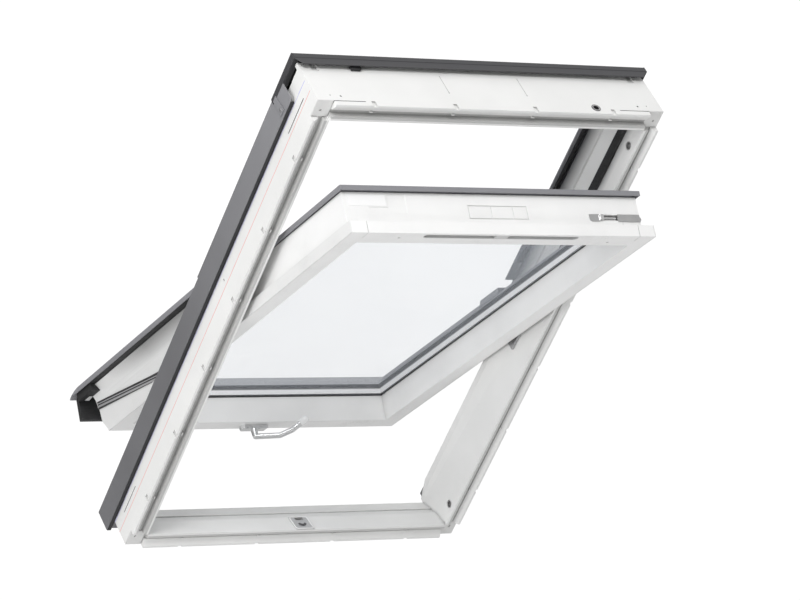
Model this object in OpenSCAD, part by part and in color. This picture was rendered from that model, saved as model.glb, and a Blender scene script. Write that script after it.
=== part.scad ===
// Centre-pivot roof skylight: fixed frame, pivoting glazed sash, arc hinges, barrel bolt and handle.
// Window axes used inside the modules: x to the right, y down the slope, z outward through the roof.
// The origin is the centre of the frame opening on the room side.

/* [Roof and opening] */
// Pitch of the roof that the window is drawn in
roof_pitch = 47; // [15:1:75]
// How far the sash is swung open from closed
open_angle = 26.1; // [0:0.1:158]

/* [Frame] */
// Outer width of the frame
frame_w = 780; // [740:10:960]
// Outer length of the frame along the slope
frame_h = 1180; // [1080:10:1400]
// Thickness of each side member
jamb_t = 34.4; // [32:0.2:38]
// Thickness of the head and of the sill
head_t = 38.6; // [36:0.2:42]
// Depth of the frame members through the roof
body_d = 112; // [106:1:114]
// Width of the inner leg of the lining groove
leg_t = 10; // [8:0.5:11]
// Width of the lining groove
groove_w = 10; // [8:0.5:11]
// Depth of the lining groove
groove_d = 14; // [10:1:16]
// Distance between the little notches along the members
notch_pitch = 180; // [120:10:220]

/* [Frame covers] */
// Width of the frame over its outer covers
cover_w = 801.6; // [800:0.2:804]
// Outer edge of the side covers, above the room side
cover_n = 128.6; // [124:0.2:130]
// Lower edge of the side covers, above the room side
cover_low = 77.5; // [70:0.5:84]
// Thickness of the cover sheet
sheet = 1.8; // [1.2:0.2:2]
// Top of the raised covers over the upper half
hood_n = 156; // [155.4:0.2:158]

/* [Sash] */
// Outer half-width of the room-side lip of the sash
sash_lip_x = 343; // [340:0.5:344]
// Half-width of the sash body behind the lip
sash_body_x = 332; // [328:0.5:334]
// Half-length of the sash on the room side
sash_half_h = 544.4; // [542:0.2:545]
// Half-width of the sash opening
sash_in_x = 306; // [300:1:308]
// Top edge of the sash opening, from the sash centre
sash_in_top = 496; // [490:1:498]
// Bottom edge of the sash opening, from the sash centre
sash_in_bot = 503; // [496:1:506]
// Depth of the sash profile
sash_d = 93; // [88:1:94]
// Recess of the closed sash behind the room side of the frame
sash_n0 = 44; // [43:0.5:45]
// Down-slope shift of the closed sash in the frame
sash_v0 = 3; // [2:0.5:4]

/* [Glazing] */
// Thickness of each pane
pane_t = 4; // [3:0.5:6]
// Gap between the panes
pane_gap = 16; // [12:1:16]

/* [Hinge] */
// Position of the pivot line down the slope from the centre
pivot_v = 7.7; // [6:0.1:9]
// Position of the pivot line out from the room side
pivot_n = 152.6; // [152:0.1:153]
// Mean radius of the arc guide
arc_r = 62; // [58:1:64]
// Width of the arc guide
arc_w = 10; // [8:1:11]
// Radial play of the shoe in the guide
arc_play = 0.06; // [0.02:0.01:0.1]

/* [Barrel bolt] */
// Distance of the bolt from the pivot line
bolt_reach = 518; // [517:0.5:520]
// Radius of the bolt
bolt_r = 5.5; // [5:0.1:5.6]
/* [Handle] */
// Centre of the handle spindle, to the right of the middle
spindle_x = -10; // [-14:1:-6]
// Centre of the handle spindle, from the sash centre
spindle_v = 524; // [521:1:527]
// Thickness of the grip
grip_d = 11; // [9:0.5:12]
/* [Hidden] */
$fn = 48;

in_x = frame_w / 2 - jamb_t;
in_v = frame_h / 2 - head_t;
out_x = frame_w / 2;
out_v = frame_h / 2;
cover_x = cover_w / 2;
groove_t = leg_t + groove_w;
eps = 0.01;

// ---------- placing and extruding ----------

module installed() rotate([-roof_pitch, 0, 0]) children();
module swung() translate([0, pivot_v, pivot_n]) rotate([open_angle, 0, 0])
    translate([0, -pivot_v, -pivot_n]) children();
module on_sash() installed() swung() translate([0, sash_v0, sash_n0]) children();
module left() mirror([1, 0, 0]) children();

// Extrudes a section drawn in (x, z) from v0 to v1 down the slope
module along_v(v0, v1) translate([0, v1, 0]) rotate([90, 0, 0]) linear_extrude(v1 - v0) children();
// Extrudes a section drawn in (y, z) from x0 to x1
module along_x(x0, x1) translate([x0, 0, 0]) rotate([90, 0, 90]) linear_extrude(x1 - x0) children();
// Box given by its two corners
module box(a, b) translate(a) cube(b - a);
// Flat ring, open in the middle, from two half-sizes and two ends
module ring(xi, xo, vi0, vi1, vo0, vo1, n0, n1) difference() {
    box([-xo, vo0, n0], [xo, vo1, n1]);
    box([-xi, vi0, n0 - 1], [xi, vi1, n1 + 1]);
}
// Round recess or pin across the slope, from x0 to x1 at (v, n)
module rod_x(x0, x1, v, n, r) translate([x0, v, n]) rotate([0, 90, 0]) cylinder(r = r, h = x1 - x0);
// Disc sector around the pivot line between two angles
module sector(r, a0, a1) polygon([[0, 0], for (i = [0:8]) r * [cos(a0 + (a1 - a0) * i / 8),
    sin(a0 + (a1 - a0) * i / 8)]]);

// ---------- frame members ----------

// Room-side rim shared by all four members: inner leg, lining groove and chamfered outer flange.
// Above step_n the outer face is set back a little, where the covers lie over it.
rebate = 0.6;
jamb_step_n = cover_low - 1.5;
head_step_n = 100;
function rim(t, step_n, top_n) = [[leg_t, 0], [leg_t, groove_d], [groove_t, groove_d], [groove_t, 8],
    [t - 5, 0], [t, 0], [t, step_n], [t - rebate, step_n], [t - rebate, top_n]];
function jamb_section() = concat([[0, 0]], rim(jamb_t, jamb_step_n, body_d), [[0, body_d]]);
function head_section() = concat([[0, 0]], rim(head_t, head_step_n, body_d), [[0, body_d]]);
// The sill's inner face leans away from the opening in steps, so that the sash can swing past it
sill_n = body_d - 13;
sill_face = [[30.6, sill_n], [22.4, 77], [17, 68.5], [17, 67], [19.5, 66.4], [8.6, 46]];
function sill_section() = concat([[0, 0]], rim(head_t, jamb_step_n, sill_n), sill_face);
function sill_blank() = concat([[0, 0], [head_t, 0], [head_t, sill_n]], sill_face);

// Notch and nub pair at each clip position along a member's flange
module notches(count, t) for (i = [0:count - 1]) let (s = (i - (count - 1) / 2) * notch_pitch) {
    translate([t - 3, s - 4.5, -1]) cube([4, 9, groove_d + 1]);
    translate([groove_t + 3, s + 6, -1]) cube([3.5, 8, 3]);
}
module nubs(count) for (i = [0:count - 1]) let (s = (i - (count - 1) / 2) * notch_pitch)
    translate([groove_t - 3, s - 3, 5]) cube([3 + eps, 6, groove_d - 5 + eps]);

module corner_space(grow) for (sx = [-1, 1], sv = [-1, 1]) scale_corner(sx, sv)
    box([in_x - grow, in_v - grow, -grow], [out_x + grow, out_v + grow, groove_d]);
module scale_corner(sx, sv) mirror([sx < 0 ? 1 : 0, 0, 0]) mirror([0, sv < 0 ? 1 : 0, 0]) children();

// Thin recessed plate in each corner, with a screw hole
module corner_blocks() color("gainsboro") installed()
    for (sx = [-1, 1], sv = [-1, 1]) scale_corner(sx, sv) difference() {
        box([in_x, in_v, groove_d - 2], [out_x, out_v, groove_d]);
        translate([in_x + 20, in_v + 15, 0]) cylinder(r = 2.6, h = 20);
    }

grommet_x = 233;
grommet_n = 17;
grommet_r = 6.6;
grommet_depth = 16;
collar_r = 9.5;
slit_x = [287, 383];
upstand_n = 122;
face_line_x = 88;

// Long slit near each end of the head's outer face
module head_slit() box([slit_x[0], -out_v - 1, 11.3], [slit_x[1], -out_v + 3, 12.7]);
module head_cuts() {
    for (s = [-1, 1]) mirror([s < 0 ? 1 : 0, 0, 0]) {
        head_slit();
        translate([335, -out_v - 1, 26]) rotate([-90, 0, 0]) cylinder(r = 2.4, h = 6);
        translate([357, -out_v - 1, 28]) rotate([-90, 0, 0]) cylinder(r = 1.4, h = 6);
        box([face_line_x - 0.6, -out_v - 1, 47], [face_line_x + 0.6, -out_v + 1, body_d - 14]);
        translate([face_line_x, -out_v - 1, 47]) rotate([-90, 0, 0]) cylinder(r = 1.6, h = 2.5);
        box([351, -out_v - 1, 99], [365, -out_v + 3, upstand_n + 1]);
    }
    translate([grommet_x, -out_v - 1, grommet_n]) rotate([-90, 0, 0]) {
        cylinder(r = grommet_r, h = grommet_depth + 2);
        cylinder(r = collar_r + 0.1, h = 2);
    }
}
module frame_head() color("whitesmoke") installed() difference() {
    union() {
        along_x(-out_x, out_x) mirror([1, 0]) translate([in_v, 0]) polygon(head_section());
        box([-out_x, -out_v + rebate, body_d - 1], [out_x, -out_v + 10, upstand_n]);
        rotate([0, 0, -90]) translate([in_v, 0, 0]) nubs(4);
    }
    corner_space(1);
    rotate([0, 0, -90]) translate([in_v, 0, 0]) notches(4, head_t);
    head_cuts();
}
module frame_sill() color("whitesmoke") installed() difference() {
    union() {
        along_x(-out_x, out_x) translate([in_v, 0]) polygon(sill_section());
        rotate([0, 0, 90]) translate([in_v, 0, 0]) nubs(4);
    }
    corner_space(1);
    rotate([0, 0, 90]) translate([in_v, 0, 0]) notches(4, head_t);
    box([latch_x - 10, in_v, 32], [latch_x + 10, in_v + 17, 44]);
}

// Long shallow wedge on the inner face of the lower half of a jamb
module jamb_facet() intersection() {
    translate([in_x, 40, 61]) rotate([3.6, 0, 0])
        along_v(0, 600) polygon([[0.5, 0], [-4, 58], [0.5, 58]]);
    box([in_x - 5, 93, 0], [in_x + 1, in_v + 30, body_d]);
}
// Centre of the bolt in the sash
bolt_n = 49.3;
bolt_arm_n = pivot_n - sash_n0 - bolt_n;
bolt_v = pivot_v - sash_v0 - sqrt(bolt_reach * bolt_reach - bolt_arm_n * bolt_arm_n);
// Centres (v, n) of the bolt bushes on the circle that the bolt follows: ajar, turned over, closed
bush_n = 21.6;
bush_dv = sqrt(bolt_reach * bolt_reach - (pivot_n - bush_n) * (pivot_n - bush_n));
bush_at = [[pivot_v - bush_dv, bush_n], [pivot_v + bush_dv, bush_n], [bolt_v + sash_v0, bolt_n + sash_n0]];
bush_r = 9;

jamb_end = [[540, cover_n], [572, 116.5], [583.8, body_d + 0.4], [583.8, body_d - 1]];
module jamb() difference() {
    union() {
        along_v(-in_v, out_v) translate([in_x, 0]) polygon(jamb_section());
        jamb_facet();
        along_x(in_x, in_x + 4.7) polygon(concat([[riser_end + 0.3, body_d - 1], [riser_end + 0.3, cover_n]],
            jamb_end));
        translate([in_x, 0, 0]) nubs(6);
    }
    along_x(in_x - 6, out_x + 1) translate([in_v, 0]) polygon(sill_blank());
    box([in_x - 6, out_v - 6.1, sill_n - 0.1], [out_x + 1, out_v + 1, cover_n + 1]);
    corner_space(1);
    translate([in_x, 0, 0]) notches(6, jamb_t);
    box([out_x - 3, -557, 55.3], [out_x + 1, -471, 56.7]);
    box([out_x - 3, 470, 59.3], [out_x + 1, 545, 60.7]);
    box([out_x - 2, -97, 57], [out_x + 1, -93, 63]);
}
module frame_jamb_left() color("whitesmoke") installed() left() jamb();
module frame_jamb_right() color("whitesmoke") installed() difference() {
    jamb();
    for (b = bush_at) rod_x(in_x - 1, in_x + 12, b[0], b[1], bush_r);
}
module bolt_bushes() color("silver") installed() for (b = bush_at) difference() {
    rod_x(in_x, in_x + 12, b[0], b[1], bush_r);
    rod_x(in_x - 1, in_x + 10, b[0], b[1], bolt_r + 0.9);
}
module cable_grommet() color("dimgray") installed() translate([grommet_x, -out_v, grommet_n])
    rotate([-90, 0, 0]) difference() {
        union() {
            translate([0, 0, -0.8]) cylinder(r = collar_r, h = 1.8);
            translate([0, 0, -eps]) cylinder(r = grommet_r, h = grommet_depth + 1);
        }
        translate([0, 0, -2]) cylinder(r = 5, h = grommet_depth + 0.4);
    }

// ---------- raised edge over the upper half ----------

riser_t = 14;
riser_x = in_x - 3.6;
riser_end = -8;
riser_top = hood_n - 2.6;
module riser() along_v(-in_v - riser_t, riser_end) polygon([[riser_x, body_d], [riser_x + riser_t, body_d],
    [riser_x + riser_t, riser_top], [riser_x, riser_top]]);
module riser_right() color("whitesmoke") installed() riser();
module riser_left() color("whitesmoke") installed() left() riser();
module riser_head() color("whitesmoke") installed()
    box([-riser_x, -in_v - riser_t, body_d], [riser_x, -in_v, riser_top]);

// ---------- frame covers ----------

// Upper end and height range of the hood's arms, which lie over the side covers
arm_end_v = -486;
arm_n = [122.5, 136];
cover_top_v = -out_v + 51;
cover_bot_v = out_v + 24;
function cover_section() = [[cover_x - sheet, cover_low], [cover_x, cover_low], [cover_x, cover_n],
    [in_x + 5, cover_n], [in_x + 5, body_d], [in_x + 5 + sheet, body_d], [in_x + 5 + sheet, cover_n - sheet],
    [cover_x - sheet, cover_n - sheet]];
// Outline of a side cover seen from the side: its upper end is stepped down under the hood's arm
cover_outline = [[cover_bot_v, cover_low], [cover_bot_v, cover_n], [arm_end_v + 1.3, cover_n],
    [arm_end_v + 1.3, arm_n[0] - 0.7], [cover_top_v, arm_n[0] - 0.7], [cover_top_v, cover_low + 4],
    [cover_top_v + 7, cover_low]];
module frame_cover() difference() {
    intersection() {
        along_v(cover_top_v, cover_bot_v) polygon(cover_section());
        along_x(in_x, cover_x + 1) polygon(cover_outline);
    }
    box([0, -out_v - 1, body_d - 1], [riser_x + riser_t, riser_end + 0.3, cover_n + 1]);
    box([0, out_v - 6, 0], [out_x + 0.3, cover_bot_v + 1, cover_n + 1]);
}
module frame_cover_right() color("dimgray") installed() frame_cover();
module frame_cover_left() color("dimgray") installed() left() frame_cover();

// Bottom cover, between the two side covers
cover_bottom_v = out_v + 19;
cover_bottom_n = sill_n + sheet + 0.1;
module frame_cover_bottom() color("dimgray") installed() along_x(-out_x - 0.2, out_x + 0.2)
    polygon([[out_v + 0.3, cover_low], [cover_bottom_v, cover_low], [cover_bottom_v, cover_bottom_n],
        [out_v - 5.6, cover_bottom_n], [out_v - 5.6, cover_bottom_n - sheet],
        [cover_bottom_v - sheet, cover_bottom_n - sheet], [cover_bottom_v - sheet, cover_low + sheet],
        [out_v + 0.3, cover_low + sheet]]);
// Caps in the lower end of each side cover, and the strip along its lower edge
module cover_edge_trim() color("black") installed() for (s = [-1, 1]) mirror([s < 0 ? 1 : 0, 0, 0]) {
    box([out_x + 0.6, cover_bot_v - 16, cover_low], [cover_x - sheet - 0.2, cover_bot_v + 1.5,
        cover_n - sheet - 0.2]);
    box([out_x + 0.3, cover_top_v + 9, cover_low],
        [cover_x - sheet - 0.2, cover_bot_v - 15, cover_low + 2.5]);
    box([in_x + 5.2 + sheet, out_v - 9, body_d + 0.2], [out_x + 0.2, out_v - 6.2, cover_n - sheet - 0.2]);
}

// Hood over the head and its two arms
hood_v = -out_v - 11.5;
hood_half_w = 399;
module hood() color("darkslategray") installed() union() {
    // Front band with a fold line, its lower corners cut off
    intersection() {
        along_x(-hood_half_w, hood_half_w) polygon([[hood_v, 106], [hood_v, 122.4], [hood_v - 0.8, 123.2],
            [hood_v - 0.8, 134.4], [hood_v + 1.6, 136.4], [hood_v + 3.4, 134.8], [hood_v + 2, 133.4],
            [hood_v + 2, 106]]);
        along_v(hood_v - 2, hood_v + 5) polygon([[-384, 105], [384, 105], [hood_half_w, arm_n[0]],
            [hood_half_w, 140], [-hood_half_w, 140], [-hood_half_w, arm_n[0]]]);
    }
    along_x(-hood_side_x, hood_side_x) polygon([[hood_v + 1.6, 136.4], [-out_v + 6, hood_n],
        [-hood_lip_v, hood_n], [-hood_lip_v, hood_n - 2.4], [-out_v + 7, hood_n - 2.4],
        [hood_v + 3.4, 134.8]]);
    box([-sash_body_x, -hood_lip_v - 2.4, hood_n - 6], [sash_body_x, -hood_lip_v, hood_n - 2]);
    for (s = [-1, 1]) mirror([s < 0 ? 1 : 0, 0, 0]) {
        along_x(hood_half_w - 0.4, hood_half_w + 2) polygon([[hood_v, arm_n[0]], [hood_v, arm_n[1]],
            [arm_end_v - 1, arm_n[1]], [arm_end_v + 1, 130], [arm_end_v - 2, arm_n[0]]]);
        along_x(hood_side_x - 2.2, hood_side_x) polygon([[hood_v + 1, 132], [hood_v + 2.4, 136],
            [-out_v + 6.4, hood_n - 1], [-hood_lip_v, hood_n - 1], [-hood_lip_v, cover_n + 0.3],
            [hood_v + 1, cover_n + 0.3]]);
    }
}
hood_side_x = 384;
hood_lip_v = 505;
// Raised side cover: it laps over the closed sash above the pivot line
hood_side_end = -16;
module hood_side() along_v(-hood_lip_v + 0.2, hood_side_end) polygon([[sash_body_x + 2, hood_n],
    [hood_side_x, hood_n], [hood_side_x, cover_n + 0.3], [hood_side_x - 2.2, cover_n + 0.3],
    [hood_side_x - 2.2, hood_n - 2.4], [sash_body_x + 2, hood_n - 2.4]]);
module hood_side_right() color("dimgray") installed() hood_side();
module hood_side_left() color("dimgray") installed() left() hood_side();

// Foot of the arm, screwed to the side cover
fitting_x = hood_half_w + 2.2;
fitting_t = 1.6;
screw_v = -498.6;
screw_n = 90.8;
module arm_fitting() difference() {
    along_x(fitting_x, fitting_x + fitting_t)
        polygon([[-504, 126], [-507.4, 82.7], [-489.3, 83.1], [-491, 125]]);
    rod_x(fitting_x - 1, fitting_x + 4, screw_v, screw_n, 1.6);
}
module arm_fitting_right() color("gray") installed() arm_fitting();
module arm_fitting_left() color("gray") installed() left() arm_fitting();
module fitting_screws() color("silver") installed() for (s = [-1, 1]) mirror([s < 0 ? 1 : 0, 0, 0]) {
    rod_x(cover_x + 0.1, fitting_x + fitting_t + eps, screw_v, screw_n, 1.55);
    rod_x(fitting_x + fitting_t, fitting_x + fitting_t + 1.4, screw_v, screw_n, 3.2);
}
// Angle clip that hooks the hood to the head
module cover_clip() color("black") installed() along_x(-272, -260)
    polygon([[-out_v + rebate - 0.1, 103], [-out_v - 6, 103], [-out_v - 6, 124], [-out_v - 3, 124],
        [-out_v - 3, 107], [-out_v + rebate - 0.1, 107]]);

// ---------- seals of the frame ----------

// Flat seal with two ribs under the raised edge
module outer_seal() color("black") installed() difference() {
    box([-riser_x, -in_v, 147.5], [riser_x, pivot_v - arc_r - 14, riser_top - 0.4]);
    box([-riser_x + 11, -in_v + 18, 140], [riser_x - 11, 0, 160]);
    difference() {
        box([-riser_x + 3, -in_v + 5, 140], [riser_x - 3, 1, 150]);
        box([-riser_x + 8, -in_v + 13, 139], [riser_x - 8, 2, 151]);
    }
}
module inner_seal() color("black") installed() difference() {
    box([-in_x, -in_v, 46], [in_x, -8, 67]);
    box([-in_x + 4.6, -in_v + 5, 45], [in_x - 4.6, 0, 68]);
}

// ---------- hinges ----------

// The guide plate on the sash is a half ring around the pivot line; the shoe on the frame runs in it
plate_x = [sash_body_x, sash_body_x + 11.5];
plate_a = [183, 357];
shoe_a = [342.5, 354];
module at_pivot(x0, x1) translate([x0, pivot_v, pivot_n]) rotate([90, 0, 90]) linear_extrude(x1 - x0)
    children();
module hinge_plate() difference() {
    at_pivot(plate_x[0], plate_x[1]) difference() {
        intersection() {
            circle(r = arc_r + 10);
            sector(120, plate_a[0], plate_a[1]);
        }
        circle(r = arc_r - 16);
    }
    at_pivot(plate_x[1] - 6, plate_x[1] + 1) difference() {
        circle(r = arc_r + arc_w / 2, $fn = 96);
        circle(r = arc_r - arc_w / 2, $fn = 96);
    }
    for (a = [215, 270, 325]) at_pivot(plate_x[0] - 1, plate_x[1] + 1)
        rotate(a) translate([arc_r - 10.5, 0]) circle(r = 2.1);
}
module hinge_sash_right() color("silver") on_sash_closed() hinge_plate();
module hinge_sash_left() color("silver") on_sash_closed() left() hinge_plate();
// Sash parts given by their place in the frame when the sash is closed
module on_sash_closed() installed() swung() children();
module hinge_sash_screws() color("gray") on_sash_closed() for (s = [-1, 1])
    mirror([s < 0 ? 1 : 0, 0, 0]) for (a = [215, 270, 325])
        at_pivot(plate_x[0] + 0.1, plate_x[1] - 0.8) rotate(a) translate([arc_r - 10.5, 0]) circle(r = 2);

base_x = in_x - 5;
module hinge_bracket() difference() {
    union() {
        along_x(base_x, in_x) polygon([[42, 58], [92, 58], [92, 104], [88, 148], [48, 148], [42, 104]]);
        at_pivot(plate_x[1] - 5.7, base_x + eps) intersection() {
            difference() {
                circle(r = arc_r + arc_w / 2 - arc_play, $fn = 96);
                circle(r = arc_r - arc_w / 2 + arc_play, $fn = 96);
            }
            sector(120, shoe_a[0], shoe_a[1]);
        }
    }
    for (p = hinge_screw_at) rod_x(base_x - 1, in_x + 1, p[0], p[1], 2.1);
}
hinge_screw_at = [[52, 68], [82, 68], [52, 92], [82, 92]];
module hinge_frame_right() color("silver") installed() hinge_bracket();
module hinge_frame_left() color("silver") installed() left() hinge_bracket();
module hinge_frame_screws() color("gray") installed() for (s = [-1, 1], p = hinge_screw_at)
    mirror([s < 0 ? 1 : 0, 0, 0]) rod_x(base_x + 0.6, in_x - 0.1, p[0], p[1], 2);

// ---------- sash members ----------

lip_n = 24;
pane_n = 57;
sash_top_v = -519;
// Outline of the sash from the side
sash_outline = [[-sash_half_h, 0], [sash_half_h, 0], [sash_half_h, 3], [565, 28], [570, 57],
    [572, sash_d], [sash_top_v, sash_d], [sash_top_v, lip_n], [-sash_half_h, lip_n]];
wall_t = 8;
shoulder_n = 100.5;
// Hollow shoulder that rides over the lower half of the jamb
shoulder = [[sash_body_x - 1, 60], [sash_lip_x, 60], [343.6, 68], [346, 78], [350.5, 87], [356, 94.5],
    [361, shoulder_n], [336, shoulder_n], [sash_body_x - 1, 97]];
module stile() {
    intersection() {
        along_v(-600, 600) polygon([[sash_in_x, 0], [sash_lip_x, 0], [sash_lip_x, lip_n],
            [sash_body_x, lip_n], [sash_body_x, sash_d], [sash_body_x - wall_t, sash_d],
            [sash_body_x - wall_t, pane_n - 1], [sash_in_x, pane_n - 1]]);
        along_x(0, 400) polygon(sash_outline);
    }
    // Lower half of the side, as wide as the lip
    intersection() {
        box([sash_body_x - 1, shoulder_v, lip_n - eps], [sash_lip_x, 600, 60 + eps]);
        along_x(0, 400) polygon(sash_outline);
    }
    difference() {
        along_v(shoulder_v, 574) polygon(shoulder);
        side_seal();
    }
    along_x(348, 359) polygon([[573, 90], [598, 87], [603, 89.5], [600, 94], [573, 97]]);
}
shoulder_v = 90;
module sash_stile_left() color("white") on_sash() left() stile();
// The bolt groove runs on through the end of the right stile
module sash_stile_right() color("white") on_sash() difference() {
    stile();
    bolt_groove(sash_in_x - 1);
}
module bolt_groove(x0) box([x0, sash_top_v - 1, bolt_n - bolt_r - 0.6],
    [sash_lip_x + 1, bolt_v + bolt_r + 0.6, bolt_n + bolt_r + 0.6]);
vent_x = [-178, 170];
vent_v = -530;
module sash_top_rail() color("white") on_sash() difference() {
    intersection() {
        union() {
            along_x(-sash_in_x, sash_in_x) polygon([[-600, 0], [-sash_in_top, 0], [-sash_in_top, pane_n - 1],
                [sash_top_v + wall_t - 4, pane_n - 1], [sash_top_v + wall_t - 4, sash_d], [-600, sash_d]]);
            along_x(-sash_body_x + wall_t, sash_body_x - wall_t) polygon([[-600, pane_n - 1],
                [sash_top_v + wall_t, pane_n - 1], [sash_top_v + wall_t, sash_d - 3.5],
                [sash_top_v + wall_t - 3.5, sash_d], [-600, sash_d]]);
        }
        along_x(-400, 400) polygon(sash_outline);
    }
    bolt_groove(214);
    // Recess behind the centre plates, and the shallow step beside the label
    box([-60, sash_top_v - 1, 42], [74, sash_top_v + 2, 70]);
    box([-277, sash_top_v - 1, 51], [-195, sash_top_v + 0.8, 63]);
    box([-236, sash_top_v - 1, 62], [-195, sash_top_v + 0.8, 90]);
    // Groove along the foot of the upright face, and the mark below the bolt
    box([-297, sash_top_v - 1, 31.5], [290, sash_top_v + 3, 34.5]);
    box([289.6, sash_top_v - 1, 34], [290.4, sash_top_v + 0.8, bolt_n - 8.4]);
    // Joint gaps beside the stiles
    for (s = [-1, 1]) mirror([s < 0 ? 1 : 0, 0, 0])
        box([sash_in_x - 1.2, -600, -1], [sash_in_x + 1, sash_top_v, lip_n + 1]);
    vent_slot(1, -1, 12);
    for (p = [[-227, -521], [248.4, -512]]) translate([p[0], p[1], -1]) cylinder(r = 2.6, h = 7);
}
// Long slot with round ends on the room side of the top rail
module vent_slot(grow, n0, n1) translate([0, 0, n0]) linear_extrude(n1 - n0) hull()
    for (x = vent_x + [8, -8]) translate([x, vent_v]) circle(r = 7 + grow);
module vent_insert() color("gray") on_sash() difference() {
    vent_slot(0.9, 0.4, 11.9);
    difference() {
        vent_slot(-0.8, 0, 9);
        translate([-4, vent_v, 5]) cube([29, 18, 12], center = true);
    }
}
module sash_bottom_rail() color("white") on_sash() intersection() {
    union() {
        along_x(-sash_in_x, sash_in_x) polygon([[sash_in_bot, 0], [600, 0], [600, sash_d], [564, sash_d],
            [564, pane_n - 1], [sash_in_bot, pane_n - 1]]);
        along_x(-sash_body_x + wall_t, sash_body_x - wall_t) polygon([[560, pane_n - 1], [600, pane_n - 1],
            [600, sash_d], [560, sash_d]]);
    }
    along_x(-400, 400) polygon(sash_outline);
}
module label_plate() color("whitesmoke") on_sash()
    box([-321, sash_top_v - 0.5, 65], [-239, sash_top_v, 88]);
module centre_plates() color("white") on_sash() for (x = [[-58, -9], [-7, 40], [42, 72]])
    box([x[0], sash_top_v + 0.4, 44], [x[1], sash_top_v + 2, 68]);

// ---------- sash seals ----------

// Slanted seal on each side of the lower half
module side_seal() along_x(sash_lip_x, sash_lip_x + 2.4) polygon([[250, 24.4], [320, 24.4], [568, 56],
    [570, 73], [319, 38.1], [250, 30]]);
module side_seal_right() color("dimgray") on_sash() side_seal();
module side_seal_left() color("dimgray") on_sash() left() side_seal();

drip_v = 612;
module bottom_seal() color("black") on_sash() along_x(-365, 365)
    polygon([[drip_v, 49], [drip_v + 12, 49], [drip_v + 12, 97], [drip_v + 4, 103], [drip_v, 103]]);
cap_v = 535;
module sash_end_caps() color("black") on_sash() for (s = [-1, 1]) mirror([s < 0 ? 1 : 0, 0, 0]) {
    along_v(cap_v, 572.8) polygon([[351.2, 87], [372, 87], [372, 106], [361.4, 106], [361.4, 100.4],
        [356.6, 94.4]]);
    box([361.6, 572, 87], [372, 604, 106]);
    box([359.4, 574.2, 87], [372, 604, 106]);
}
module cover_seals() color("black") on_sash() for (s = [-1, 1]) mirror([s < 0 ? 1 : 0, 0, 0])
    box([361.2, cover_v0 + 2, 101.6], [rim_x + 66.8, cap_v - 0.5, 110]);

// ---------- glazing ----------

pane_x = 320;
pane_v = [-511 + 0.6, 517];
pane2_n = pane_n + pane_t + pane_gap;
module pane(n) box([-pane_x, pane_v[0], n], [pane_x, pane_v[1], n + pane_t]);
module glass_inner() color("lightblue", 0.4) on_sash() pane(pane_n);
module glass_outer() color("lightblue", 0.4) on_sash() pane(pane2_n);
module glass_spacer() color("silver") on_sash() ring(pane_x - 16, pane_x - 5, pane_v[0] + 16, pane_v[1] - 16,
    pane_v[0] + 5, pane_v[1] - 5, pane_n + pane_t, pane2_n);
module glass_edge_seal() color("black") on_sash() ring(pane_x - 5, pane_x - 1, pane_v[0] + 5, pane_v[1] - 5,
    pane_v[0] + 1, pane_v[1] - 1, pane_n + pane_t, pane2_n);
module glazing_gasket_inner() color("black") on_sash() ring(sash_in_x - 2, pane_x - 2, -sash_in_top + 2,
    sash_in_bot - 2, pane_v[0] + 1, pane_v[1] - 2, pane_n - 1, pane_n);
module glazing_gasket_outer() color("black") on_sash() ring(sash_in_x + 1, pane_x - 2, -sash_in_top - 3,
    sash_in_bot + 3, pane_v[0] + 1, pane_v[1] - 2, pane2_n + pane_t, pane2_n + pane_t + 3);

// ---------- sash covers ----------

rim_x = 309;
rim_v = [-500, 506];
rim_n = pane2_n + pane_t + 3;
// Height of the cover's outer skin against the distance from the glass edge
top_n = 112.3;
low_n = 102;
function upper_skin() = [[0, rim_n], [12, rim_n + 10], [22, 103], [29, 103], [29, sash_d], [27, sash_d],
    [27, 101], [22.8, 101], [13, rim_n + 8.6], [2.6, rim_n]];
function lower_skin() = [[0, rim_n], [12, rim_n + 10], [32, top_n], [69, top_n], [69, low_n], [67, low_n],
    [67, top_n - 2.2], [32.6, top_n - 2.2], [13, rim_n + 8.4], [2.6, rim_n]];
// Steeper skin past the hinge guide
function neck_skin() = [[0, rim_n], [12, rim_n + 10], [19, top_n], [69, top_n], [69, low_n], [67, low_n],
    [67, top_n - 2.2], [20.2, top_n - 2.2], [13.6, rim_n + 9], [2.6, rim_n]];
// Half-space wedge that mitres two covers at a corner of the glass
module corner_wedge(v, reach) linear_extrude(200) polygon([[rim_x, v], [rim_x + 200, v + 200 * reach],
    [rim_x + 200, v + 400 * reach], [-rim_x - 200, v + 400 * reach], [-rim_x - 200, v + 200 * reach],
    [-rim_x, v]]);

cover_v0 = 8;
neck_end_v = 82;
module cover_upper() difference() {
    along_v(rim_v[0] - 30, cover_v0 - 0.4) translate([rim_x, 0]) polygon(upper_skin());
    corner_wedge(rim_v[0], -1);
    // Room for the hinge guide
    box([sash_body_x - 0.3, pivot_v - sash_v0 - arc_r - 13, 40], [400, cover_v0, 120]);
}
module sash_cover_upper_right() color("gray") on_sash() cover_upper();
module sash_cover_upper_left() color("gray") on_sash() left() cover_upper();
module sash_cover_top() color("gray") on_sash() intersection() {
    along_x(-400, 400) translate([rim_v[0], 0]) mirror([1, 0]) polygon(upper_skin());
    corner_wedge(rim_v[0], -1);
}
module cover_lower() {
    along_v(cover_v0, neck_end_v + eps) translate([rim_x, 0]) polygon(neck_skin());
    difference() {
        along_v(neck_end_v, 640) translate([rim_x, 0]) polygon(lower_skin());
        corner_wedge(rim_v[1], 1);
    }
}
module sash_cover_lower_right() color("gray") on_sash() cover_lower();
module sash_cover_lower_left() color("gray") on_sash() left() cover_lower();
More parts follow.
